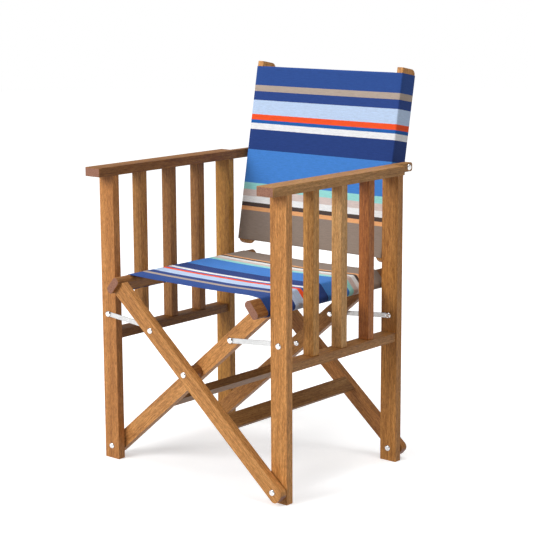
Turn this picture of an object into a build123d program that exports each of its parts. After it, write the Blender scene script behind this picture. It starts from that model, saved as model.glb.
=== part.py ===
from build123d import *
import math
import os

# Folding director chair with two slatted side frames, a scissor under the seat
# and a striped cloth seat and back. Millimetres. +Z is up, the sitter faces -Y,
# +X is the sitter's left. z = 0 is the floor.

# Side frames
side_centre_x = 245.5       # middle of a post, from the chair's middle
post_width = 42.0           # along X
post_depth = 18.5           # along Y
frame_depth = 397.0         # front of the front post to back of the rear post
frame_shift_y = -39.73      # puts the origin under the middle of the whole chair
arm_width = 44.0
arm_thickness = 20.0
arm_top = 663.0
arm_front_overhang = 41.0
arm_rear_overhang = 5.0
arm_edge_radius = 2.0
tongue_thickness = 16.0     # the narrow end of the arm that carries the back
lower_rail_width = 35.0
lower_rail_height = 19.0
lower_rail_bottom = 276.5
lower_rail_offset_x = 1.0
slat_width = 27.0           # along X
slat_depth = 20.0           # along Y
slat_pitch = 94.5
tenon_length = 10.0
tenon_inset = 5.0

# Scissor legs
pivot_height = 29.0         # bottom pivots above the floor
crossing_height = 237.0
leg_width = 34.0
leg_thickness = 18.5
leg_gap = 3.2               # between a leg and the post it turns on
leg_end = 22.0              # leg beyond its bottom pivot
leg_end_radius = 12.0
spacer_diameter = 30.0
seat_rail_offset = 262.5    # crossing to the middle of a seat rail, along the leg
seat_rail_width = 42.0
seat_rail_thickness = 18.5
seat_rail_length = 460.0
seat_rail_radius = 8.0
outer_stretcher_near = 127.0
outer_stretcher_width = 36.0
outer_stretcher_thickness = 9.0
inner_stretcher_near = 97.0
inner_stretcher_width = 34.0
inner_stretcher_thickness = 18.5

# Link bars
link_offset = 127.4         # crossing to the bar's bolt, along the leg
link_height = 304.0         # bottom pivot to the bar's bolt on the post
bar_width = 11.0
bar_thickness = 2.0

# Back
back_pivot_y = 257.0
back_pivot_z = 653.0
back_recline = 10.5
batten_outer_x = 210.0
batten_thickness = 16.0     # along X
batten_depth = 48.0
batten_above = 216.0        # pivot to the top end
batten_below = 216.0        # pivot to the bottom end
batten_top_radius = 14.0
batten_bottom_radius = 22.0

# Cloth
cloth_thickness = 1.0
cloth_gap = 0.3             # sleeve to the wood inside it
seat_front_y = -186.0
seat_rear_y = 198.0
seat_sag = 7.0
back_cloth_top = 203.5      # along the batten, from the pivot
back_cloth_bottom = -206.0

# Fasteners
bolt_diameter = 6.0
bore_diameter = 6.15
head_diameter = 14.0
head_height = 3.5
washer_diameter = 15.0
nut_width = 10.0
nut_height = 5.0
nut_clearance = 0.3
thread_end = 2.0

leg_reach = math.hypot(side_centre_x, crossing_height - pivot_height)
leg_angle = math.atan2(crossing_height - pivot_height, side_centre_x)
post_y = frame_depth / 2 - post_depth / 2
frame_front = -frame_depth / 2
arm_bottom = arm_top - arm_thickness
outer_leg_y = frame_depth / 2 + leg_gap             # face nearest the middle
inner_leg_y = frame_depth / 2 - post_depth - leg_gap - leg_thickness
link_gap = (leg_gap - bar_thickness) / 2


def box(x_range, y_range, z_range):
    """A box between three pairs of limits."""
    sizes = [high - low for low, high in (x_range, y_range, z_range)]
    middle = [(high + low) / 2 for low, high in (x_range, y_range, z_range)]
    return Pos(*middle) * Box(*sizes)


def around(middle, size):
    """The limits of a span of this size about its middle."""
    return middle - size / 2, middle + size / 2


def rod_y(diameter, x, z, y_start, y_end):
    """A round bar along Y."""
    middle = (y_start + y_end) / 2
    return Pos(x, middle, z) * Rot(90, 0, 0) * Cylinder(diameter / 2, abs(y_end - y_start))


def flip(solid):
    """The same piece on the other side of the chair."""
    return mirror(solid, about=Plane.YZ)


def save(name, *solids):
    """Write one node, moved so that the origin is under the chair's middle."""
    placed = [Pos(0, frame_shift_y, 0) * solid for solid in solids]
    shape = placed[0] if len(placed) == 1 else Compound(children=placed)
    export_step(shape, f"parts/{name}.step")


# ---- fasteners, with the head at z = 0 looking along -Z and the shank along +Z

def washer(start, thickness, diameter=washer_diameter):
    """A flat washer or spacer on the shank."""
    ring = Cylinder(diameter / 2, thickness) - Cylinder(bore_diameter / 2, thickness)
    return Pos(0, 0, start + thickness / 2) * ring


def bolt_head():
    """A domed head that stands on z = 0."""
    head = Pos(0, 0, -head_height / 2) * Cylinder(head_diameter / 2, head_height)
    return fillet(head.edges().sort_by(Axis.Z)[0], head_height * 0.85)


def shank(length):
    """The plain shank below a head."""
    return Pos(0, 0, length / 2) * Cylinder(bolt_diameter / 2, length)


def nut(start):
    """A hexagonal nut."""
    hexagon = extrude(RegularPolygon(nut_width / 2, 6, major_radius=False), nut_height)
    bore = Pos(0, 0, nut_height / 2) * Cylinder(bore_diameter / 2, nut_height)
    return Pos(0, 0, start) * (hexagon - bore)


def through_bolt(grip, spacers=()):
    """Domed bolt, its spacers and its nut, for this total grip."""
    pieces = [bolt_head() + shank(grip + nut_height + thread_end)]
    pieces += [washer(start, thickness, diameter) for start, thickness, diameter in spacers]
    pieces.append(nut(grip + nut_clearance))
    return pieces


def along_y(pieces, x, y, z):
    """Put fastener pieces at a point, with the heads facing the front."""
    return [Pos(x, y, z) * Rot(-90, 0, 0) * piece for piece in pieces]


# ---- side frames, modelled for the +X side

def post(end):
    """Upright post, with a tenon into the arm. end is -1 at the front, 1 at the rear."""
    x_range = around(side_centre_x, post_width)
    y_range = around(end * post_y, post_depth)
    solid = box(x_range, y_range, (0, arm_bottom))
    solid += tenon(side_centre_x, end * post_y, post_width, post_depth, arm_bottom)
    solid -= lower_rail_tenons()
    for height in (pivot_height, pivot_height + link_height):
        solid -= rod_y(bore_diameter, side_centre_x, height, y_range[0], y_range[1])
    return solid


def tenon(x, y, width, depth, start, direction=1):
    """A tenon that stands on a vertical piece's end."""
    z_range = sorted((start, start + direction * tenon_length))
    x_range = around(x, width - 2 * tenon_inset)
    return box(x_range, around(y, depth - 2 * tenon_inset), z_range)


def lower_rail_tenons():
    """Both tenons of the lower rail, which go into the posts."""
    x_range = around(side_centre_x + lower_rail_offset_x, lower_rail_width - 2 * tenon_inset)
    z_middle = lower_rail_bottom + lower_rail_height / 2
    z_range = around(z_middle, lower_rail_height - 2 * tenon_inset)
    inner = post_y - post_depth / 2
    rear = box(x_range, (inner, inner + tenon_length), z_range)
    front = box(x_range, (-inner - tenon_length, -inner), z_range)
    return rear + front


def slat(number):
    """Upright slat, with tenons into the arm and the lower rail."""
    x = side_centre_x + lower_rail_offset_x
    y = (number - 1) * slat_pitch
    bottom = lower_rail_bottom + lower_rail_height
    solid = box(around(x, slat_width), around(y, slat_depth), (bottom, arm_bottom))
    solid += tenon(x, y, slat_width, slat_depth, arm_bottom)
    solid += tenon(x, y, slat_width, slat_depth, bottom, -1)
    return solid


def lower_rail():
    """Rail between the posts that holds the slats."""
    half = post_y - post_depth / 2
    x_range = around(side_centre_x + lower_rail_offset_x, lower_rail_width)
    z_range = (lower_rail_bottom, lower_rail_bottom + lower_rail_height)
    solid = box(x_range, (-half, half), z_range) + lower_rail_tenons()
    for number in range(3):
        solid -= slat(number)
    return solid


def armrest():
    """Flat arm with a narrow tongue behind it for the back's pivot."""
    front = frame_front - arm_front_overhang
    rear = frame_depth / 2 + arm_rear_overhang
    solid = box(around(side_centre_x, arm_width), (front, rear), (arm_bottom, arm_top))
    inner = side_centre_x - arm_width / 2
    tongue = box(
        (inner, inner + tongue_thickness),
        (rear - arm_rear_overhang, back_pivot_y + arm_thickness / 2 + 4),
        (arm_bottom, arm_top),
    )
    tongue = fillet(tongue.edges().filter_by(Axis.X).group_by(Axis.Y)[-1], 6)
    solid += tongue
    front_face = solid.faces().sort_by(Axis.Y)[0]
    solid = fillet(front_face.edges(), arm_edge_radius)
    solid -= back_bolt_bore(inner - 1, inner + tongue_thickness + 1)
    for end in (-1, 1):
        solid -= tenon(side_centre_x, end * post_y, post_width, post_depth, arm_bottom)
    for number in range(3):
        solid -= slat(number)
    return solid


def back_bolt_bore(x_start, x_end):
    """Bore for the back's pivot bolt."""
    middle = (x_start + x_end) / 2
    bore = Rot(0, 90, 0) * Cylinder(bore_diameter / 2, x_end - x_start)
    return Pos(middle, back_pivot_y, back_pivot_z) * bore


def post_bolts(legs_outside):
    """Bolts fixed in one side's posts: two leg pivots and two link pivots.

    legs_outside says that the legs turn outside this side's posts, so its bars lie inside.
    """
    pieces = []
    leg_grip = post_depth + leg_gap + leg_thickness
    gap = washer_in_gap(post_depth)
    leg_first = washer_in_gap(leg_thickness)
    bar_grip = bar_thickness + link_gap + post_depth
    front_face = frame_front
    rear_face = frame_depth / 2 - post_depth
    link_z = pivot_height + link_height
    if legs_outside:
        front_leg = frame_front - leg_gap - leg_thickness
        pieces += along_y(through_bolt(leg_grip, [leg_first]), side_centre_x, front_leg, pivot_height)
        pieces += along_y(through_bolt(leg_grip, [gap]), side_centre_x, rear_face, pivot_height)
        pieces += along_y(through_bolt(bar_grip), side_centre_x, front_face, link_z)
        bar_face = rear_face - link_gap - bar_thickness
        pieces += along_y(through_bolt(bar_grip), side_centre_x, bar_face, link_z)
    else:
        rear_leg = inner_leg_y
        pieces += along_y(through_bolt(leg_grip, [gap]), side_centre_x, front_face, pivot_height)
        pieces += along_y(through_bolt(leg_grip, [leg_first]), side_centre_x, rear_leg, pivot_height)
        bar_face = frame_front - link_gap - bar_thickness
        pieces += along_y(through_bolt(bar_grip), side_centre_x, bar_face, link_z)
        pieces += along_y(through_bolt(bar_grip), side_centre_x, rear_face, link_z)
    return pieces


def washer_in_gap(start):
    """Washer that fills most of the gap between a leg and a post."""
    return start + nut_clearance, leg_gap - 2 * nut_clearance, washer_diameter


# ---- scissor legs, modelled with the top at -X and the bottom at +X

def leg_plane(y):
    """Plane at the crossing, local x down along the leg, local z towards the rear."""
    direction = (math.cos(leg_angle), 0, -math.sin(leg_angle))
    return Plane(origin=(0, y, crossing_height), x_dir=direction, z_dir=(0, 1, 0))


def leg(y):
    """Scissor leg, from its tenon in the seat rail to its rounded foot."""
    top = -seat_rail_offset + seat_rail_thickness / 2
    bottom = leg_reach + leg_end
    outline = Pos((top + bottom) / 2, 0) * Rectangle(bottom - top, leg_width)
    outline = fillet(outline.vertices().group_by(Axis.X)[-1], leg_end_radius)
    solid = extrude(outline, leg_thickness)
    tenon_outline = Pos(top - tenon_length / 2, 0) * Rectangle(tenon_length, leg_width / 2)
    solid += Pos(0, 0, tenon_inset) * extrude(tenon_outline, leg_thickness - 2 * tenon_inset)
    for place in (-link_offset, 0, leg_reach):
        solid -= Pos(place, 0, leg_thickness / 2) * Cylinder(bore_diameter / 2, leg_thickness)
    return leg_plane(y) * solid


def seat_rail(legs):
    """Rounded rail on the legs' top ends, which carries one edge of the seat."""
    section = RectangleRounded(seat_rail_thickness, seat_rail_width, seat_rail_radius)
    solid = extrude(Pos(-seat_rail_offset, 0) * section, seat_rail_length)
    solid = leg_plane(-seat_rail_length / 2) * solid
    for one_leg in legs:
        solid -= one_leg
    return solid


def stretcher(near, width, thickness, offset, half_span):
    """Bar between two legs. offset is its middle across the leg's width."""
    section = Pos(near + width / 2, offset) * Rectangle(width, thickness)
    return leg_plane(-half_span) * extrude(section, 2 * half_span)


def crossing_spacer():
    """Round wooden spacer between the two front legs at the crossing."""
    start = -outer_leg_y + nut_clearance
    end = -inner_leg_y - leg_thickness - nut_clearance
    ring = rod_y(spacer_diameter, 0, crossing_height, start, end)
    return ring - rod_y(bore_diameter, 0, crossing_height, start, end)


def crossing_bolts():
    """The two bolts that the scissor turns on."""
    grip = outer_leg_y + leg_thickness - inner_leg_y
    front = along_y(through_bolt(grip), 0, -outer_leg_y - leg_thickness, crossing_height)
    rear = along_y(through_bolt(grip), 0, inner_leg_y, crossing_height)
    return front + rear


# ---- link bars, modelled for the -X side, whose front bar lies on the post's front

def bar_ends():
    """Where a bar's two bolts are: on the post and on the leg."""
    on_post = (-side_centre_x, pivot_height + link_height)
    on_leg = (
        -link_offset * math.cos(leg_angle),
        crossing_height + link_offset * math.sin(leg_angle),
    )
    return on_post, on_leg


def link_bar(y):
    """Flat steel bar with round ends. y is its front face."""
    on_post, on_leg = bar_ends()
    length = math.dist(on_post, on_leg)
    direction = ((on_leg[0] - on_post[0]) / length, 0, (on_leg[1] - on_post[1]) / length)
    plane = Plane(origin=(on_post[0], y, on_post[1]), x_dir=direction, z_dir=(0, 1, 0))
    outline = Pos(length / 2, 0) * SlotCenterToCenter(length, bar_width)
    solid = plane * extrude(outline, bar_thickness)
    for x, z in (on_post, on_leg):
        solid -= rod_y(bore_diameter, x, z, y, y + bar_thickness)
    return solid


def leg_link_bolt(y, head_first):
    """The leg's half of the bolt at a bar's free end. y is the leg's front face."""
    _, (x, z) = bar_ends()
    if head_first:
        return along_y([bolt_head() + shank(leg_thickness)], x, y, z)
    stub = shank(leg_thickness + nut_height + thread_end)
    return along_y([stub, nut(leg_thickness + nut_clearance)], x, y, z)


def bar_link_bolt(y, head_first):
    """The bar's half of that bolt. y is the bar's front face."""
    _, (x, z) = bar_ends()
    if head_first:
        return along_y([bolt_head() + shank(bar_thickness)], x, y, z)
    stub = shank(bar_thickness + nut_height + thread_end)
    return along_y([stub, nut(bar_thickness + nut_clearance)], x, y, z)


# ---- back, modelled for the +X side and upright, then reclined about its pivot

def recline(solid):
    """Lean a piece that was modelled upright with its pivot at the origin."""
    return Pos(0, back_pivot_y, back_pivot_z) * Rot(-back_recline, 0, 0) * solid


def batten_section(grow):
    """Outline of the batten seen along Z, grown by this much all round."""
    middle = batten_outer_x - batten_thickness / 2
    width = batten_thickness + 2 * grow
    return Pos(middle, 0) * RectangleRounded(width, batten_depth + 2 * grow, 2 + grow)


def batten():
    """Upright batten with rounded ends, bored for its pivot bolt."""
    length = batten_above + batten_below
    solid = Pos(0, 0, -batten_below) * extrude(batten_section(0), length)
    outline = Pos((batten_above - batten_below) / 2, 0) * Rectangle(length, batten_depth)
    top_rear = outline.vertices().group_by(Axis.X)[-1].sort_by(Axis.Y)[0]
    outline = fillet(top_rear, batten_top_radius)
    outline = fillet(outline.vertices().group_by(Axis.X)[0], batten_bottom_radius)
    side = Plane(origin=(0, 0, 0), x_dir=(0, 0, 1), z_dir=(1, 0, 0))
    profile = extrude(side * outline, batten_outer_x + batten_thickness)
    solid = solid & profile
    bore = Rot(0, 90, 0) * Cylinder(bore_diameter / 2, 4 * batten_outer_x)
    return recline(solid - bore)


def back_sleeve():
    """Sleeve of cloth round a batten, open at both ends, with bolt holes."""
    length = back_cloth_top - back_cloth_bottom
    ring = batten_section(cloth_gap + cloth_thickness) - batten_section(cloth_gap)
    tube = Pos(0, 0, back_cloth_bottom) * extrude(ring, length)
    hole = Rot(0, 90, 0) * Cylinder(washer_diameter / 2 + 1, 4 * batten_outer_x)
    return recline(tube - hole)


def back_panel():
    """The flat cloth between the two sleeves, in line with the battens' front faces."""
    half = batten_outer_x - batten_thickness - cloth_gap - cloth_thickness - 0.3
    front = -batten_depth / 2 - cloth_gap - cloth_thickness
    panel = box(
        (-half, half),
        (front, front + cloth_thickness),
        (back_cloth_bottom, back_cloth_top),
    )
    return recline(panel)


def back_pivot():
    """Bolt, spacer and nut that carry one batten, turned to lie along X."""
    outer = side_centre_x - arm_width / 2 + tongue_thickness
    inner = batten_outer_x - batten_thickness
    gap_start = tongue_thickness + nut_clearance
    gap = outer - tongue_thickness - batten_outer_x - 2 * nut_clearance
    pieces = through_bolt(outer - inner, [(gap_start, gap, washer_diameter)])
    return [Pos(outer, back_pivot_y, back_pivot_z) * Rot(0, -90, 0) * piece for piece in pieces]


# ---- seat cloth

def seat_sleeve(notches):
    """Sleeve of cloth round the seat rail at -X, notched round any leg it meets."""
    length = seat_rear_y - seat_front_y
    sections = []
    for grow in (cloth_gap + cloth_thickness, cloth_gap):
        width = seat_rail_thickness + 2 * grow
        height = seat_rail_width + 2 * grow
        sections.append(RectangleRounded(width, height, seat_rail_radius + grow))
    ring = Pos(-seat_rail_offset, 0) * (sections[0] - sections[1])
    tube = leg_plane(seat_front_y) * extrude(ring, length)
    for y in notches:
        room = Pos(-seat_rail_offset / 2, 0) * Rectangle(seat_rail_offset, leg_width + 1)
        cut = leg_plane(y - 0.5) * extrude(room, leg_thickness + 1)
        tube -= cut
    return tube


def seat_panel():
    """The cloth between the two seat rails, hanging a little in the middle."""
    top_z = crossing_height + seat_rail_offset * math.sin(leg_angle)
    edge_x = seat_rail_offset * math.cos(leg_angle)
    reach = seat_rail_width / 2 - seat_rail_radius
    edge_x -= reach * math.sin(leg_angle) + seat_rail_radius * 0.5
    top_z += reach * math.cos(leg_angle) + seat_rail_radius + cloth_gap + 2 * cloth_thickness
    points = [(-edge_x, top_z), (0, top_z - seat_sag), (edge_x, top_z)]
    upper = ThreePointArc(*points)
    lower = ThreePointArc(*[(x, z - cloth_thickness) for x, z in reversed(points)])
    ends = [Line(upper @ 1, lower @ 0), Line(lower @ 1, upper @ 0)]
    section = make_face([upper, ends[0], lower, ends[1]])
    plane = Plane(origin=(0, seat_front_y, 0), x_dir=(1, 0, 0), z_dir=(0, -1, 0))
    return plane * extrude(section, -(seat_rear_y - seat_front_y))


def save_side(side, place, legs_outside):
    """Write one side frame. place puts the +X model on its own side."""
    save(f"{side}_front_post", place(post(-1)))
    save(f"{side}_rear_post", place(post(1)))
    save(f"{side}_armrest", place(armrest()))
    save(f"{side}_lower_rail", place(lower_rail()))
    for number, where in enumerate(("front", "middle", "rear")):
        save(f"{side}_{where}_slat", place(slat(number)))
    save(f"{side}_post_bolts", *[place(piece) for piece in post_bolts(legs_outside)])
    save(f"{side}_batten", place(batten()))
    save(f"{side}_back_sleeve", place(back_sleeve()))
    save(f"{side}_back_pivot", *[place(piece) for piece in back_pivot()])


def save_legs(name, place, y_front, y_rear, shape, notches):
    """Write one pair of legs. shape is the stretcher's arguments."""
    legs = [leg(y_front), leg(y_rear)]
    save(f"{name}_front_leg", place(legs[0]))
    save(f"{name}_rear_leg", place(legs[1]))
    save(f"{name}_seat_rail", place(seat_rail(legs)))
    save(f"{name}_stretcher", place(stretcher(*shape)))
    save(f"{name}_seat_sleeve", place(seat_sleeve(notches)))


def save_links():
    """Write the four link bars and both halves of their free ends' bolts."""
    front_outside = frame_front - link_gap - bar_thickness
    rear_outside = frame_depth / 2 + link_gap
    front_inside = frame_front + post_depth + link_gap
    rear_inside = frame_depth / 2 - post_depth - link_gap - bar_thickness
    outer_front = -outer_leg_y - leg_thickness
    inner_front = -inner_leg_y - leg_thickness
    save("right_front_link", link_bar(front_outside))
    save("right_rear_link", link_bar(rear_outside))
    right_ends = bar_link_bolt(front_outside, False) + bar_link_bolt(rear_outside, True)
    save("right_link_bolts", *right_ends)
    save("outer_link_bolts", *leg_link_bolt(outer_front, True), *leg_link_bolt(outer_leg_y, False))
    save("left_front_link", flip(link_bar(front_inside)))
    save("left_rear_link", flip(link_bar(rear_inside)))
    left_ends = bar_link_bolt(front_inside, True) + bar_link_bolt(rear_inside, False)
    save("left_link_bolts", *[flip(piece) for piece in left_ends])
    inner_ends = leg_link_bolt(inner_front, False) + leg_link_bolt(inner_leg_y, True)
    save("inner_link_bolts", *[flip(piece) for piece in inner_ends])


def keep(solid):
    """Leave a piece on the side it was modelled for."""
    return solid


os.makedirs("parts", exist_ok=True)
save_side("left", keep, True)
save_side("right", flip, False)
outer_shape = (
    outer_stretcher_near,
    outer_stretcher_width,
    outer_stretcher_thickness,
    (outer_stretcher_thickness - leg_width) / 2,
    outer_leg_y,
)
inner_shape = (
    inner_stretcher_near,
    inner_stretcher_width,
    inner_stretcher_thickness,
    (leg_width - inner_stretcher_thickness) / 2,
    inner_leg_y,
)
save_legs("outer", keep, -outer_leg_y - leg_thickness, outer_leg_y, outer_shape, [])
inner_places = (-inner_leg_y - leg_thickness, inner_leg_y)
save_legs("inner", flip, *inner_places, inner_shape, inner_places)
save("crossing_spacers", crossing_spacer(), mirror(crossing_spacer(), about=Plane.XZ))
save("crossing_bolts", *crossing_bolts())
save_links()
save("seat_panel", seat_panel())
save("back_panel", back_panel())
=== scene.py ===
import math

import bpy
from mathutils import Matrix, Vector, noise


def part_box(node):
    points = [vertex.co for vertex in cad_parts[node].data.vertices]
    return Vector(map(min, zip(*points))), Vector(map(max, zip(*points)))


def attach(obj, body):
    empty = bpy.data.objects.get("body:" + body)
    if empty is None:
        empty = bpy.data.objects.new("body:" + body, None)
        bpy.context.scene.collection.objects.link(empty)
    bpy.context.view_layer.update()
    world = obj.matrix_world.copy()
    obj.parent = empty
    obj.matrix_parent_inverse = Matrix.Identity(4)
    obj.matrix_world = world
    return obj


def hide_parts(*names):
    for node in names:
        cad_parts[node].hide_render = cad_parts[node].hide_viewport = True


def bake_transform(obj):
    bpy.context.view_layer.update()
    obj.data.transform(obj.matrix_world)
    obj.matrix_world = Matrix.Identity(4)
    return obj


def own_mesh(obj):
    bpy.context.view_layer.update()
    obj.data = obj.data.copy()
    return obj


# Looks for the folding director chair. Metres, in the CAD frame: +Z up, the sitter
# faces -Y, +X is the sitter's left.

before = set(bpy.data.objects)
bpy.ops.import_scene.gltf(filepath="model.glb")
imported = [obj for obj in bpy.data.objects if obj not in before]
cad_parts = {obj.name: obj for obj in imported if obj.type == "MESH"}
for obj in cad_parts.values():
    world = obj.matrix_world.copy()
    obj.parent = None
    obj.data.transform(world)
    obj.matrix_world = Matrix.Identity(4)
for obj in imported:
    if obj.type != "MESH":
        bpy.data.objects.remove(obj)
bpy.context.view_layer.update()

# ---- sizes that the CAD design sets

leg_angle = math.radians(40.27)
recline = math.radians(10.5)
rail_half_thickness = 0.00925
rail_half_width = 0.021
rail_radius = 0.008
batten_thickness = 0.016
batten_depth = 0.048

cloth_thickness = 0.0009
cloth_clearance = 0.0003
seat_sag = 0.0035
hem_width = 0.011
corner_flare = 0.011       # how far the seat's +X front corner is pulled forward
flare_start = 0.150
flare_end = 0.198
seat_steps = 72            # rows of points along the seat's stripes
unstitched = 8             # points at each end of the seat's path with no stitches
cloth_crease = math.radians(50)     # a sharper turn than this is shaded as an edge
stitch_length = 0.0032
stitch_pitch = 0.0046
thread_radius = 0.00022

camera_place = (2.2703, -2.6462, 1.0910)
camera_yaw = 0.706
camera_pitch = -0.187
camera_roll = -0.005
camera_lens = 107.4
surroundings = 0.30        # light from all round
light_target = (0, 0, 0.4)


def middle(node):
    """The middle of a CAD node's box."""
    low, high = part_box(node)
    return (low + high) / 2


def add_object(name, data):
    """A new object for a mesh, camera or light, in the scene."""
    thing = bpy.data.objects.new(name, data)
    bpy.context.scene.collection.objects.link(thing)
    return thing


# ---- node-tree helpers

def new_material(name):
    """An empty material with its shader, and the tree to build in."""
    material = bpy.data.materials.new(name)
    material.use_nodes = True
    tree = material.node_tree
    return material, tree, tree.nodes["Principled BSDF"]


def math_node(tree, operation, first, second=None, third=None):
    """A Math node on sockets or numbers."""
    node = tree.nodes.new("ShaderNodeMath")
    node.operation = operation
    for socket, value in zip(node.inputs, (first, second, third)):
        if value is None:
            continue
        if isinstance(value, (int, float)):
            socket.default_value = value
        else:
            tree.links.new(value, socket)
    return node.outputs[0]


def mapping(tree, vector, scale=(1, 1, 1), rotation=(0, 0, 0), location=(0, 0, 0)):
    """A Mapping node of point type."""
    node = tree.nodes.new("ShaderNodeMapping")
    node.inputs["Scale"].default_value = scale
    node.inputs["Rotation"].default_value = rotation
    node.inputs["Location"].default_value = location
    tree.links.new(vector, node.inputs["Vector"])
    return node.outputs[0]


def noise_node(tree, vector, scale, detail=2.0, roughness=0.5, distortion=0.0):
    """A Noise Texture's value."""
    node = tree.nodes.new("ShaderNodeTexNoise")
    node.inputs["Scale"].default_value = scale
    node.inputs["Detail"].default_value = detail
    node.inputs["Roughness"].default_value = roughness
    node.inputs["Distortion"].default_value = distortion
    tree.links.new(vector, node.inputs["Vector"])
    return node.outputs["Fac"]


def spread(tree, value, low, high, new_low=0.0, new_high=1.0):
    """A Map Range node."""
    node = tree.nodes.new("ShaderNodeMapRange")
    tree.links.new(value, node.inputs["Value"])
    numbers = (low, high, new_low, new_high)
    for name, number in zip(("From Min", "From Max", "To Min", "To Max"), numbers):
        node.inputs[name].default_value = number
    return node.outputs[0]


def ramp(tree, value, stops, interpolation="LINEAR"):
    """A Color Ramp through (position, colour) stops."""
    node = tree.nodes.new("ShaderNodeValToRGB")
    node.color_ramp.interpolation = interpolation
    elements = node.color_ramp.elements
    while len(elements) < len(stops):
        elements.new(0.5)
    for element, (position, colour) in zip(elements, stops):
        element.position = position
        element.color = (*colour, 1)
    tree.links.new(value, node.inputs["Fac"])
    return node.outputs["Color"]


def mix(tree, blend_type, factor, first, second):
    """A colour Mix node. The colours are sockets or three numbers."""
    node = tree.nodes.new("ShaderNodeMix")
    node.data_type = "RGBA"
    node.blend_type = blend_type
    node.clamp_result = False
    for socket, value in ((node.inputs[0], factor), (node.inputs[6], first), (node.inputs[7], second)):
        if isinstance(value, (int, float)):
            socket.default_value = value
        elif isinstance(value, tuple):
            socket.default_value = (*value, 1)
        else:
            tree.links.new(value, socket)
    return node.outputs[2]


def bump(tree, height, strength, distance, shader):
    """A Bump node into the shader's normal."""
    node = tree.nodes.new("ShaderNodeBump")
    node.inputs["Strength"].default_value = strength
    node.inputs["Distance"].default_value = distance
    tree.links.new(height, node.inputs["Height"])
    tree.links.new(node.outputs["Normal"], shader.inputs["Normal"])


# ---- wood

wood_dark = (0.200, 0.078, 0.020)
wood_middle = (0.385, 0.172, 0.048)
wood_light = (0.540, 0.275, 0.095)
wood_end = (0.350, 0.165, 0.105)
# The battens' tops keep the lighter side-grain colour instead of the end-grain colour: painted light
# where the top light falls on them.
top_lit_ends = ("left_batten", "right_batten")
grain_turns = {
    "z": (0, 0, 0),
    "y": (math.pi / 2, 0, 0),
    "outer_leg": (0, math.pi / 2 - leg_angle, 0),
    "inner_leg": (0, leg_angle - math.pi / 2, 0),
}


def wood_material(name, along, tone_and_light_tint, seed):
    """Oiled hardwood with its grain along one direction of the chair."""
    material, tree, shader = new_material(f"wood_{name}")
    coordinates = tree.nodes.new("ShaderNodeTexCoord")
    place = mapping(tree, coordinates.outputs["Object"], rotation=grain_turns[along])
    place = mapping(tree, place, location=(seed * 0.731, seed * 0.417, seed * 1.193))
    long_grain = mapping(tree, place, scale=(1, 1, 0.045))
    broad = noise_node(tree, long_grain, 22, 3, 0.55, 0.6)
    rings = noise_node(tree, mapping(tree, place, scale=(1, 1, 0.07)), 15, 1.5, 0.5, 0.4)
    bands = math_node(tree, "SINE", math_node(tree, "MULTIPLY", rings, 75.0))
    fine = noise_node(tree, long_grain, 330, 5, 0.65)
    fibre = noise_node(tree, mapping(tree, place, scale=(1, 1, 0.02)), 1100, 3, 0.6)
    speckle = noise_node(tree, mapping(tree, place, scale=(1, 1, 0.16)), 700, 2, 0.7)
    flecks = noise_node(tree, mapping(tree, place, scale=(1, 1, 0.22)), 380, 3, 0.75)
    total = math_node(tree, "MULTIPLY", broad, 0.36)
    total = math_node(tree, "MULTIPLY_ADD", bands, 0.014, total)
    total = math_node(tree, "MULTIPLY_ADD", fine, 0.46, total)
    total = math_node(tree, "MULTIPLY_ADD", fibre, 0.34, total)
    shade = spread(tree, total, 0.41, 0.74)
    colour = ramp(tree, shade, [(0.0, wood_dark), (0.5, wood_middle), (1.0, wood_light)])
    pores = spread(tree, speckle, 0.58, 0.70, 0.0, 0.50)
    colour = mix(tree, "MULTIPLY", pores, colour, (0.35, 0.27, 0.20))
    dark_flecks = spread(tree, flecks, 0.50, 0.66, 0.0, 0.75)
    colour = mix(tree, "MULTIPLY", dark_flecks, colour, (0.55, 0.46, 0.38))
    pale_flecks = spread(tree, flecks, 0.46, 0.34, 0.0, 0.60)
    colour = mix(tree, "MULTIPLY", pale_flecks, colour, (1.45, 1.50, 1.60))
    # Each piece's tint: partly its own tone, partly painted light and shade on that piece.
    colour = mix(tree, "MULTIPLY", 1.0, colour, tone_and_light_tint)
    facing = end_mask(tree, coordinates.outputs["Normal"], along)
    rough_end = noise_node(tree, place, 420, 4, 0.7)
    end_colour = mix(tree, "MULTIPLY", 1.0, wood_end, ramp(
        tree, rough_end, [(0.3, (0.55, 0.50, 0.47)), (0.7, (1.25, 1.22, 1.20))]))
    # Batten tops skip the end-grain colour: painted top light.
    if name not in top_lit_ends:
        colour = mix(tree, "MIX", facing, colour, end_colour)
    tree.links.new(colour, shader.inputs["Base Color"])
    tree.links.new(spread(tree, fine, 0.3, 0.7, 0.40, 0.56), shader.inputs["Roughness"])
    shader.inputs["Specular IOR Level"].default_value = 0.30
    bump(tree, math_node(tree, "MULTIPLY_ADD", speckle, -0.5, fibre), 0.25, 0.0005, shader)
    return material


def end_mask(tree, normal, along):
    """1 where the surface is end grain, 0 elsewhere."""
    directions = {
        "z": (0, 0, 1),
        "y": (0, 1, 0),
        "outer_leg": (math.cos(leg_angle), 0, -math.sin(leg_angle)),
        "inner_leg": (math.cos(leg_angle), 0, math.sin(leg_angle)),
    }
    node = tree.nodes.new("ShaderNodeVectorMath")
    node.operation = "DOT_PRODUCT"
    tree.links.new(normal, node.inputs[0])
    node.inputs[1].default_value = directions[along]
    size = math_node(tree, "ABSOLUTE", node.outputs["Value"])
    return spread(tree, size, 0.80, 0.95)
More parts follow.
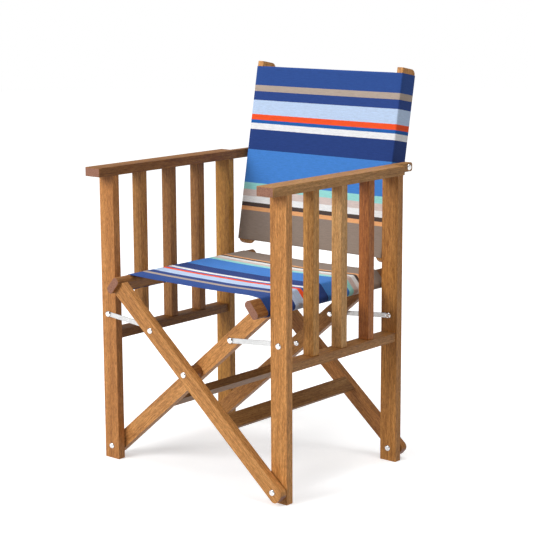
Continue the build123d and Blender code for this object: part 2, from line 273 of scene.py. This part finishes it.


# Grain direction and tint of each wooden piece. The tints are partly each piece's own tone and partly
# painted light and shade: pieces that catch light or a highlight are made lighter, pieces in shade
# darker.
wood_pieces = {
    "right_front_post": ("z", (1.42, 1.30, 1.22)),
    "right_rear_post": ("z", (1.22, 1.22, 0.84)),
    "right_armrest": ("y", (0.74, 0.68, 0.60)),
    "right_lower_rail": ("y", (0.66, 0.62, 0.50)),
    "right_front_slat": ("z", (1.30, 1.30, 1.18)),
    "right_middle_slat": ("z", (0.95, 0.90, 0.86)),
    "right_rear_slat": ("z", (1.00, 0.96, 0.92)),
    "left_front_post": ("z", (1.48, 1.40, 1.28)),
    "left_rear_post": ("z", (1.22, 1.12, 0.84)),
    "left_armrest": ("y", (1.14, 1.22, 1.24)),
    "left_lower_rail": ("y", (1.04, 1.04, 1.00)),
    "left_front_slat": ("z", (1.46, 1.52, 1.30)),
    "left_middle_slat": ("z", (1.58, 1.85, 2.20)),
    "left_rear_slat": ("z", (1.12, 0.82, 0.62)),
    "outer_front_leg": ("outer_leg", (1.50, 1.48, 1.46)),
    "outer_rear_leg": ("outer_leg", (1.06, 0.94, 0.82)),
    # This leg is lightened as painted light, brightening its lower part where the leg in front shades
    # it.
    "inner_front_leg": ("inner_leg", (1.66, 1.68, 1.80)),
    "inner_rear_leg": ("inner_leg", (1.14, 1.06, 0.92)),
    "outer_seat_rail": ("y", (0.95, 0.90, 0.84)),
    "inner_seat_rail": ("y", (0.85, 0.80, 0.76)),
    "outer_stretcher": ("y", (0.82, 0.84, 0.84)),
    "inner_stretcher": ("y", (0.80, 0.80, 0.78)),
    "crossing_spacers": ("y", (0.70, 0.62, 0.55)),
    # The battens are lightened as painted light on their tops.
    "left_batten": ("z", (1.50, 1.52, 1.50)),
    "right_batten": ("z", (1.50, 1.52, 1.50)),
}


def soften_edges(thing, width):
    """Round a CAD piece's sharp edges without touching its mesh.

    Its flat faces are merged first, because long thin triangles round a bore tear in a bevel.
    """
    weld = thing.modifiers.new("weld", "WELD")
    weld.merge_threshold = 0.00002
    merge = thing.modifiers.new("merge", "DECIMATE")
    merge.decimate_type = "DISSOLVE"
    merge.angle_limit = math.radians(1)
    bevel = thing.modifiers.new("bevel", "BEVEL")
    bevel.width = width
    bevel.segments = 3
    bevel.limit_method = "ANGLE"
    bevel.angle_limit = math.radians(50)
    bevel.harden_normals = True


def dress_wood():
    """Give every wooden CAD node its own grain and slightly rounded edges."""
    for seed, (name, (along, tone_and_light_tint)) in enumerate(wood_pieces.items()):
        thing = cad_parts[name]
        thing.data.materials.clear()
        thing.data.materials.append(wood_material(name, along, tone_and_light_tint, seed + 1))
        if name != "crossing_spacers":
            soften_edges(thing, 0.0012)


# ---- steel

def steel_material(name, roughness, dull, bright):
    """Plated steel with faint brushing and handling marks, between two greys."""
    material, tree, shader = new_material(name)
    coordinates = tree.nodes.new("ShaderNodeTexCoord").outputs["Object"]
    cloud = noise_node(tree, coordinates, 90, 3, 0.6)
    colour = ramp(tree, cloud, [(0.3, (dull, dull, dull)), (0.7, (bright, bright, bright))])
    tree.links.new(colour, shader.inputs["Base Color"])
    scratches = noise_node(tree, mapping(tree, coordinates, scale=(0.1, 1, 1)), 1500, 3, 0.7)
    rough = spread(tree, scratches, 0.3, 0.7, roughness * 0.7, roughness * 1.4)
    tree.links.new(rough, shader.inputs["Roughness"])
    shader.inputs["Metallic"].default_value = 1.0
    bump(tree, scratches, 0.02, 0.0001, shader)
    return material


def dress_steel():
    """Give the bolts and bars their plated finish."""
    bolts = steel_material("steel_bolts", 0.14, 0.66, 0.82)
    bars = steel_material("steel_bars", 0.32, 0.48, 0.56)
    for name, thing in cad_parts.items():
        is_bar = name.endswith("_link")
        if not (is_bar or name.endswith("_bolts") or name.endswith("_back_pivot")):
            continue
        thing.data.materials.clear()
        thing.data.materials.append(bars if is_bar else bolts)
        if is_bar:
            soften_edges(thing, 0.0005)


# ---- striped cloth

royal_blue = (0.028, 0.080, 0.300)
navy = (0.026, 0.064, 0.255)
# Each stripe's start, as a share of the cloth's length, and its colour.
stripes = [
    (0.0, royal_blue),
    (0.106, (0.470, 0.380, 0.315)),
    (0.142, navy),
    (0.195, (0.530, 0.670, 0.890)),
    (0.274, (0.940, 0.095, 0.022)),
    (0.306, (0.015, 0.120, 0.420)),
    (0.326, (0.870, 0.880, 0.890)),
    (0.360, (0.020, 0.052, 0.215)),
    (0.479, (0.060, 0.230, 0.640)),
    (0.671, (0.330, 0.740, 0.690)),
    (0.710, (0.700, 0.580, 0.530)),
    (0.750, (0.900, 0.900, 0.880)),
    (0.785, (0.085, 0.060, 0.050)),
    (0.807, (0.870, 0.420, 0.180)),
    # This brown is lighter than the stripe's own colour: painted sheen from light falling across the
    # seat's rear.
    (0.832, (0.300, 0.232, 0.186)),
]


def cloth_material(name, length):
    """Woven canvas in stripes. The mesh's cloth attribute holds (across, along) in metres."""
    material, tree, shader = new_material(name)
    attribute = tree.nodes.new("ShaderNodeAttribute")
    attribute.attribute_name = "cloth"
    place = attribute.outputs["Vector"]
    parts = tree.nodes.new("ShaderNodeSeparateXYZ")
    tree.links.new(place, parts.inputs[0])
    across, along = parts.outputs[0], parts.outputs[1]
    wander = noise_node(tree, mapping(tree, place, scale=(6, 1, 1)), 30, 1)
    share = math_node(tree, "DIVIDE", along, length)
    share = math_node(tree, "MULTIPLY_ADD", wander, 0.0016, share)
    colour = ramp(tree, share, stripes, "CONSTANT")
    yarn_pitch = 0.0011
    weft = math_node(tree, "SINE", math_node(tree, "MULTIPLY", along, 2 * math.pi / yarn_pitch))
    warp = math_node(tree, "SINE", math_node(tree, "MULTIPLY", across, 2 * math.pi / yarn_pitch))
    weave = math_node(tree, "MULTIPLY", weft, warp)
    slubs = noise_node(tree, mapping(tree, place, scale=(1, 12, 1)), 120, 3, 0.7)
    threads = noise_node(tree, mapping(tree, place, scale=(9, 1, 1)), 160, 3, 0.7)
    tone = math_node(tree, "MULTIPLY_ADD", slubs, 0.34, 0.83)
    tone = math_node(tree, "MULTIPLY_ADD", threads, 0.26, math_node(tree, "SUBTRACT", tone, 0.13))
    tone = math_node(tree, "MULTIPLY_ADD", weave, 0.05, tone)
    streaks = noise_node(tree, mapping(tree, place, scale=(0.12, 1, 1)), 460, 3, 0.75)
    tone = math_node(tree, "MULTIPLY_ADD", streaks, 0.55, math_node(tree, "SUBTRACT", tone, 0.275))
    grey = tree.nodes.new("ShaderNodeCombineColor")
    for socket in grey.inputs:
        tree.links.new(tone, socket)
    colour = mix(tree, "MULTIPLY", 1.0, colour, grey.outputs[0])
    tree.links.new(colour, shader.inputs["Base Color"])
    shader.inputs["Roughness"].default_value = 0.82
    shader.inputs["Specular IOR Level"].default_value = 0.12
    shader.inputs["Sheen Weight"].default_value = 0.05
    shader.inputs["Sheen Roughness"].default_value = 0.5
    height = math_node(tree, "MULTIPLY_ADD", slubs, 0.8, weave)
    bump(tree, height, 0.35, 0.0003, shader)
    return material


def keep_cloth_places(mesh, values):
    """Store each point's (across, along) on the flat cloth, for its stripes and weave."""
    attribute = mesh.attributes.new("cloth", "FLOAT_VECTOR", "POINT")
    attribute.data.foreach_set("vector", [number for pair in values for number in (*pair, 0.0)])


def surface(name, rows, values, material):
    """A smooth sheet through rows of points. values are each point's (across, along)."""
    mesh = bpy.data.meshes.new(name)
    wide = len(rows[0])
    points = [point for row in rows for point in row]
    faces = []
    for j in range(len(rows) - 1):
        for i in range(wide - 1):
            corner = j * wide + i
            faces.append((corner, corner + 1, corner + wide + 1, corner + wide))
    mesh.from_pydata(points, [], faces)
    keep_cloth_places(mesh, [pair for row in values for pair in row])
    mesh.shade_smooth()
    mesh.materials.append(material)
    return add_object(name, mesh)


def thicken(thing, thickness):
    """Give a sheet its two faces, and keep the result as its mesh."""
    solid = thing.modifiers.new("solid", "SOLIDIFY")
    solid.thickness = thickness
    solid.offset = 0
    apply_modifiers(thing)
    thing.data.set_sharp_from_angle(angle=cloth_crease)


def apply_modifiers(thing):
    """Replace the mesh with its evaluated mesh."""
    graph = bpy.context.evaluated_depsgraph_get()
    mesh = bpy.data.meshes.new_from_object(thing.evaluated_get(graph))
    thing.modifiers.clear()
    old = thing.data
    thing.data = mesh
    bpy.data.meshes.remove(old)
    mesh.name = thing.name


def stitches(name, lines, material):
    """Rows of thread in the cloth's own colours.

    Each line is a list of (point, outward, (across, along)) on the cloth's face.
    """
    points, faces, values = [], [], []
    for line in lines:
        for start, end, outward, place in stitch_spans(line):
            before = len(points)
            add_stitch(points, faces, start, end, outward)
            values += [place] * (len(points) - before)
    mesh = bpy.data.meshes.new(name)
    mesh.from_pydata(points, [], faces)
    keep_cloth_places(mesh, values)
    mesh.shade_smooth()
    mesh.materials.append(material)
    return add_object(name, mesh)


def stitch_spans(line):
    """Cut a line into stitches: (start, end, outward, (across, along)) for each."""
    spans = []
    travelled = 0.0
    next_start = 0.0
    for (first, outward, place), (second, _, _) in zip(line, line[1:]):
        step = (second - first).length
        while next_start < travelled + step:
            share = (next_start - travelled) / step
            along = (second - first) / step
            start = first.lerp(second, share)
            spans.append((start, start + along * stitch_length, outward, place))
            next_start += stitch_pitch
        travelled += step
    return spans


def add_stitch(points, faces, start, end, outward):
    """One stitch: a thin arched bar with six sides, pointed into the cloth at both ends."""
    along = (end - start).normalized()
    side = along.cross(outward).normalized()
    first = len(points)
    sides = 6
    stations = (            # share of the length, size and lift in thread radii
        (0.0, 0.3, -0.3),
        (0.25, 1.0, 0.55),
        (0.5, 1.0, 0.85),
        (0.75, 1.0, 0.55),
        (1.0, 0.3, -0.3),
    )
    for share, size, lift in stations:
        centre = start.lerp(end, share) + outward * thread_radius * lift
        for k in range(sides):
            angle = 2 * math.pi * k / sides
            offset = side * math.cos(angle) + outward * math.sin(angle)
            points.append(centre + offset * thread_radius * size)
    for ring in range(len(stations) - 1):
        for k in range(sides):
            a = first + ring * sides + k
            b = first + ring * sides + (k + 1) % sides
            faces.append((a, b, b + sides, a + sides))
    faces.append(tuple(first + k for k in reversed(range(sides))))
    last = first + (len(stations) - 1) * sides
    faces.append(tuple(last + k for k in range(sides)))


# ---- seat

def arc(centre, radius, start, end, count):
    """Points of an arc in a plane, angles in radians."""
    points = []
    for k in range(count + 1):
        angle = start + (end - start) * k / count
        points.append((centre[0] + radius * math.cos(angle), centre[1] + radius * math.sin(angle)))
    return points


def rail_wrap(rail):
    """The cloth's path round the -X seat rail, from its hem to where it leaves the top.

    Local a points away from the crossing along the legs, b across the rail's width.
    """
    grow = cloth_clearance + cloth_thickness / 2
    radius = rail_radius + grow
    a_centre = rail_half_thickness - rail_radius
    b_centre = rail_half_width - rail_radius
    leave = math.pi / 2 - leg_angle + math.atan(4 * seat_sag / (2 * abs(rail.x)))
    local = arc((-a_centre, -b_centre), radius, -0.92 * math.pi, -0.5 * math.pi, 7)
    local += arc((a_centre, -b_centre), radius, -0.5 * math.pi, 0, 7)
    steps = 7
    for k in range(1, steps):
        local.append((a_centre + radius, -b_centre + 2 * b_centre * k / steps))
    local += arc((a_centre, b_centre), radius, 0, leave, 6)
    away = Vector((-math.cos(leg_angle), math.sin(leg_angle)))
    across = Vector((math.sin(leg_angle), math.cos(leg_angle)))
    return [Vector((rail.x, rail.z)) + away * a + across * b for a, b in local]


def path_lengths(path):
    """The distance along a path to each of its points."""
    lengths = [0.0]
    for a, b in zip(path, path[1:]):
        lengths.append(lengths[-1] + (b - a).length)
    return lengths


def seat_section(rail):
    """The seat cloth's whole path in XZ, from the -X hem to the +X hem."""
    left = rail_wrap(rail)
    start = left[-1]
    span = []
    steps = 64
    for k in range(1, steps):
        share = k / steps
        x = start.x * (1 - 2 * share)
        span.append(Vector((x, start.y)))
    right = [Vector((-point.x, point.y)) for point in reversed(left)]
    return left + span + right, len(left), len(left) + len(span)


def seat_sag_at(x, y, half, y_low, y_high):
    """How far the seat hangs below its edges."""
    across = max(0.0, 1 - (x / half) ** 2)
    share = (y - y_low) / (y_high - y_low)
    fullness = 0.72 + 0.28 * math.sin(math.pi * share)
    ripple = noise.noise(Vector((x * 9, y * 5, 3.1))) * 0.0009
    fine = noise.noise(Vector((x * 30, y * 14, 7.7))) * 0.0003
    return across * (seat_sag * fullness + ripple + fine)


def front_flare(x):
    """How far the seat's front edge lies ahead of its straight line."""
    share = min(1.0, max(0.0, (x - flare_start) / (flare_end - flare_start)))
    return corner_flare * share * share * (3 - 2 * share)


def seat_cloth(material):
    """The seat: one cloth wrapped over both rails, hemmed at its front and rear edges."""
    rail = middle("outer_seat_rail")
    path, first, last = seat_section(rail)
    low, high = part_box("outer_seat_sleeve")
    half = abs(path[first - 1].x)
    lengths = path_lengths(path)
    rows, values = [], []
    for j in range(seat_steps + 1):
        row, line = [], []
        for i, point in enumerate(path):
            front = low.y - front_flare(point.x)
            y = front + (high.y - front) * j / seat_steps
            drop = 0.0
            if first <= i < last:
                drop = seat_sag_at(point.x, y, half, low.y, high.y)
            row.append(Vector((point.x, y, point.y - drop)))
            line.append((lengths[i], y - low.y))
        rows.append(row)
        values.append(line)
    thing = surface("seat_cloth", rows, values, material)
    thicken(thing, cloth_thickness)
    hems = []
    for hem_y in (low.y + hem_width, high.y - hem_width):
        hems.append(seat_stitch_line(path, lengths, (first, last), hem_y, low, high))
    seams = stitches("seat_stitching", hems, material)
    for piece in (thing, seams):
        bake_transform(piece)
    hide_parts("seat_panel", "inner_seat_sleeve", "outer_seat_sleeve")


def seat_stitch_line(path, lengths, span, y, low, high):
    """The hem's seam across the seat at one y, on the upper face. span is where it hangs free."""
    first, last = span
    half = abs(path[first - 1].x)
    line = []
    for i in range(unstitched, len(path) - unstitched):
        point = path[i]
        drop = seat_sag_at(point.x, y, half, low.y, high.y) if first <= i < last else 0.0
        ahead = path[i + 1] - path[i - 1]
        outward = Vector((-ahead.y, 0, ahead.x)).normalized()
        place = Vector((point.x, y, point.y - drop)) + outward * cloth_thickness / 2
        line.append((place, outward, (lengths[i], y - low.y)))
    return line


# ---- back

back_cloth_top = 0.2035
back_cloth_bottom = -0.206
back_sag = 0.003
seam_inset = 0.006         # batten to the sleeve's seam
seam_offset = 0.0022       # its stitches, from the sleeve's edge
seam_behind = 0.0016       # and behind the front cloth
seam_end = 0.003           # and short of the cloth's top and bottom
layer_gap = 0.0012         # front layer to rear layer
back_height = back_cloth_top - back_cloth_bottom
back_steps = 72            # rows of points up the back
back_columns = 56          # points across it, less one
sleeve_steps = 70
pivot = middle("left_back_pivot")
batten_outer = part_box("left_batten")[1].x
batten_inner = batten_outer - batten_thickness
seam_x = batten_inner - seam_inset
cloth_front = -batten_depth / 2 - cloth_clearance - cloth_thickness / 2


def lean(x, y, z):
    """A point given upright about the back's pivot, leaned to its rest angle."""
    turned = Matrix.Rotation(-recline, 3, "X") @ Vector((x, y, z))
    return turned + Vector((0, pivot.y, pivot.z))


def back_hang(x, z):
    """How far the back cloth bows to the rear, away from its straight line."""
    across = max(0.0, 1 - (x / seam_x) ** 2)
    ripple = noise.noise(Vector((x * 8, z * 5, 11.3))) * 0.0007
    fine = noise.noise(Vector((x * 26, z * 16, 5.9))) * 0.00025
    return across * (back_sag + ripple + fine)


def sleeve_section():
    """The +X sleeve's loop seen along the batten, from its seam round the batten and back."""
    grow = cloth_clearance + cloth_thickness / 2
    corner = 0.002
    radius = corner + grow
    low_x, high_x = batten_inner + corner, batten_outer - corner
    y_corner = batten_depth / 2 - corner
    path = [(seam_x, cloth_front), (seam_x + 0.003, cloth_front), (low_x, cloth_front)]
    path += arc((high_x, -y_corner), radius, -math.pi / 2, 0, 5)
    path += [(high_x + radius, y_corner * share) for share in (-0.66, -0.33, 0, 0.33, 0.66)]
    path += arc((high_x, y_corner), radius, 0, math.pi / 2, 5)
    path += arc((low_x, y_corner), radius, math.pi / 2, math.pi, 5)
    path += [(low_x - radius, y_corner * share) for share in (0.66, 0.33, 0, -0.33, -0.66)]
    path.append((low_x - radius - 0.0006, -y_corner * 0.86))
    path.append((low_x - radius - 0.0022, cloth_front + 0.0024))
    path.append((seam_x, cloth_front + 0.0011))
    return path


def back_sleeve(side, sign, material):
    """A sleeve round one batten, with its long seam."""
    path = [Vector((sign * x, y)) for x, y in sleeve_section()]
    if sign < 0:
        path.reverse()
    lengths = path_lengths(path)
    rows, values = [], []
    for j in range(sleeve_steps + 1):
        z = back_cloth_bottom + back_height * j / sleeve_steps
        rows.append([lean(x, y + sleeve_pucker(x, y, z), z) for x, y in path])
        values.append([(length, back_cloth_top - z) for length in lengths])
    thing = surface(f"back_sleeve_{side}", rows, values, material)
    thicken(thing, cloth_thickness)
    line = []
    outward = lean(0, 1, 0) - lean(0, 0, 0)
    seam_y = cloth_front + seam_behind + cloth_thickness / 2
    for j in range(sleeve_steps + 1):
        z = back_cloth_bottom + seam_end + (back_height - 2 * seam_end) * j / sleeve_steps
        place = lean(sign * (seam_x + seam_offset), seam_y, z)
        line.append((place, outward, (0.0, back_cloth_top - z)))
    seam = stitches(f"back_seam_{side}", [line], material)
    for piece in (thing, seam):
        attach(piece, f"{side}_back")
    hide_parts(f"{side}_back_sleeve")


def sleeve_pucker(x, y, z):
    """Slight looseness of a sleeve, none at its front face."""
    loose = max(0.0, y - cloth_front) / batten_depth
    return loose * abs(noise.noise(Vector((x * 40, y * 30, z * 14)))) * 0.0012


def back_layer(name, behind, hemmed, material):
    """One layer of the back's cloth between the seams. A hemmed layer turns over at both ends."""
    profile = []
    for j in range(back_steps + 1):
        profile.append((behind, back_cloth_bottom + back_height * j / back_steps))
    if hemmed:
        profile = hem_profile(profile)
    rows, values = [], []
    travelled = 0.0
    for number, (depth, z) in enumerate(profile):
        if number:
            before = profile[number - 1]
            travelled += math.hypot(depth - before[0], z - before[1])
        row, line = [], []
        for i in range(back_columns + 1):
            x = -seam_x + 2 * seam_x * i / back_columns
            row.append(lean(x, cloth_front + depth + back_hang(x, z), z))
            line.append((x + seam_x, back_cloth_top - z))
        rows.append(row)
        values.append(line)
    thing = surface(name, rows, values, material)
    thicken(thing, cloth_thickness)
    return thing, travelled


def hem_profile(profile):
    """Turn a layer's two ends over to the rear, round the layer behind it."""
    radius = layer_gap
    top_z = back_cloth_top - radius
    bottom_z = back_cloth_bottom + radius
    inside = [(depth, z) for depth, z in profile if bottom_z < z < top_z]
    top = [(radius - radius * math.cos(a), top_z + radius * math.sin(a)) for a in hem_angles()]
    bottom = [(radius - radius * math.cos(a), bottom_z - radius * math.sin(a)) for a in hem_angles()]
    top.append((2 * radius, top_z - hem_width / 2))
    top.append((2 * radius, top_z - hem_width))
    bottom.append((2 * radius, bottom_z + hem_width / 2))
    bottom.append((2 * radius, bottom_z + hem_width))
    return list(reversed(bottom)) + inside + top


def hem_angles():
    """Angles round a hem's fold."""
    return [math.pi * k / 6 for k in range(7)]


def back_cloth(material):
    """The back: a doubled cloth between two sleeves. Its front layer and hem stitching move with the
    right back, its rear layer with the left back.
    """
    front, long_way = back_layer("back_cloth_front", 0.0, True, material)
    rear, _ = back_layer("back_cloth_rear", layer_gap, False, material)
    lines = []
    outward = lean(0, -1, 0) - lean(0, 0, 0)
    hem_seam = hem_width - 0.002
    for z in (back_cloth_top - hem_seam, back_cloth_bottom + hem_seam):
        line = []
        for i in range(back_columns + 1):
            x = -seam_x + 2 * seam_x * i / back_columns
            y = cloth_front - cloth_thickness / 2 + back_hang(x, z)
            line.append((lean(x, y, z), outward, (x + seam_x, back_cloth_top - z)))
        lines.append(line)
    hems = stitches("back_hem_stitching", lines, material)
    for piece in (front, hems):
        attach(piece, "right_back")
        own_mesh(piece)
    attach(rear, "left_back")
    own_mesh(rear)
    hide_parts("back_panel")


dress_wood()
dress_steel()
seat_material = cloth_material("seat_canvas", 0.384)
seat_cloth(seat_material)
back_material = cloth_material("back_canvas", back_height)
back_sleeve("left", 1, back_material)
back_sleeve("right", -1, back_material)
back_cloth(back_material)


# ---- camera, light and floor

def make_camera():
    """The camera, in front of the sitter's left."""
    data = bpy.data.cameras.new("camera")
    data.lens = camera_lens
    data.sensor_width = 36
    data.clip_end = 100
    thing = add_object("camera", data)
    forward = Vector((
        -math.sin(camera_yaw) * math.cos(camera_pitch),
        math.cos(camera_yaw) * math.cos(camera_pitch),
        math.sin(camera_pitch),
    ))
    turn = forward.to_track_quat("-Z", "Y").to_matrix().to_4x4()
    thing.matrix_world = Matrix.Translation(camera_place) @ turn @ Matrix.Rotation(camera_roll, 4, "Z")
    bpy.context.scene.camera = thing


def area_light(name, place, target, size, power):
    """A square soft light aimed at a point."""
    data = bpy.data.lights.new(name, "AREA")
    data.shape = "SQUARE"
    data.size = size
    data.energy = power
    thing = add_object(name, data)
    thing.location = place
    direction = Vector(target) - Vector(place)
    thing.rotation_euler = direction.to_track_quat("-Z", "Y").to_euler()


def make_floor():
    """A wide pale floor that glows a little, more so far off, so that it stays white."""
    half = 12.0
    near, far = 0.7, 2.6
    near_glow, far_glow = 0.46, 0.80
    mesh = bpy.data.meshes.new("floor")
    corners = [(-half, -half, 0), (half, -half, 0), (half, half, 0), (-half, half, 0)]
    mesh.from_pydata(corners, [], [(0, 1, 2, 3)])
    material, tree, shader = new_material("floor")
    shader.inputs["Base Color"].default_value = (0.9, 0.9, 0.9, 1)
    shader.inputs["Roughness"].default_value = 0.9
    shader.inputs["Specular IOR Level"].default_value = 0.1
    shader.inputs["Emission Color"].default_value = (1, 1, 1, 1)
    coordinates = tree.nodes.new("ShaderNodeTexCoord").outputs["Object"]
    distance = tree.nodes.new("ShaderNodeVectorMath")
    distance.operation = "LENGTH"
    tree.links.new(coordinates, distance.inputs[0])
    glow = spread(tree, distance.outputs["Value"], near, far, near_glow, far_glow)
    tree.links.new(glow, shader.inputs["Emission Strength"])
    mesh.materials.append(material)
    thing = add_object("floor", mesh)
    thing.visible_diffuse = False


def make_backdrop():
    """A white dome that only the camera sees."""
    radius = 11.0
    rings, sides = 12, 32
    points, faces = [], []
    for j in range(rings + 1):
        height = math.pi / 2 * (2 * j / rings - 1)
        for k in range(sides):
            turn = 2 * math.pi * k / sides
            flat = radius * math.cos(height)
            points.append((flat * math.cos(turn), flat * math.sin(turn), radius * math.sin(height)))
    for j in range(rings):
        for k in range(sides):
            a, b = j * sides + k, j * sides + (k + 1) % sides
            faces.append((a, b, b + sides, a + sides))
    mesh = bpy.data.meshes.new("backdrop")
    mesh.from_pydata(points, [], faces)
    material, _, shader = new_material("backdrop")
    shader.inputs["Base Color"].default_value = (0, 0, 0, 1)
    shader.inputs["Specular IOR Level"].default_value = 0.0
    shader.inputs["Emission Color"].default_value = (1, 1, 1, 1)
    shader.inputs["Emission Strength"].default_value = 1.0
    mesh.materials.append(material)
    thing = add_object("backdrop", mesh)
    thing.visible_diffuse = False
    thing.visible_glossy = False
    thing.visible_shadow = False


def light_all_round():
    """Dim even light from the whole world."""
    world = bpy.data.worlds.new("studio")
    world.use_nodes = True
    background = world.node_tree.nodes["Background"]
    background.inputs["Color"].default_value = (1, 1, 1, 1)
    background.inputs["Strength"].default_value = surroundings
    bpy.context.scene.world = world


make_camera()
make_floor()
make_backdrop()
light_all_round()
area_light("key", (-1.4, -4.2, 2.6), light_target, 2.2, 172)
area_light("top", (0.3, 0.2, 3.4), light_target, 2.2, 54)
area_light("right", (3.2, -0.6, 1.4), light_target, 1.8, 9)
bpy.context.scene.view_settings.view_transform = "Standard"
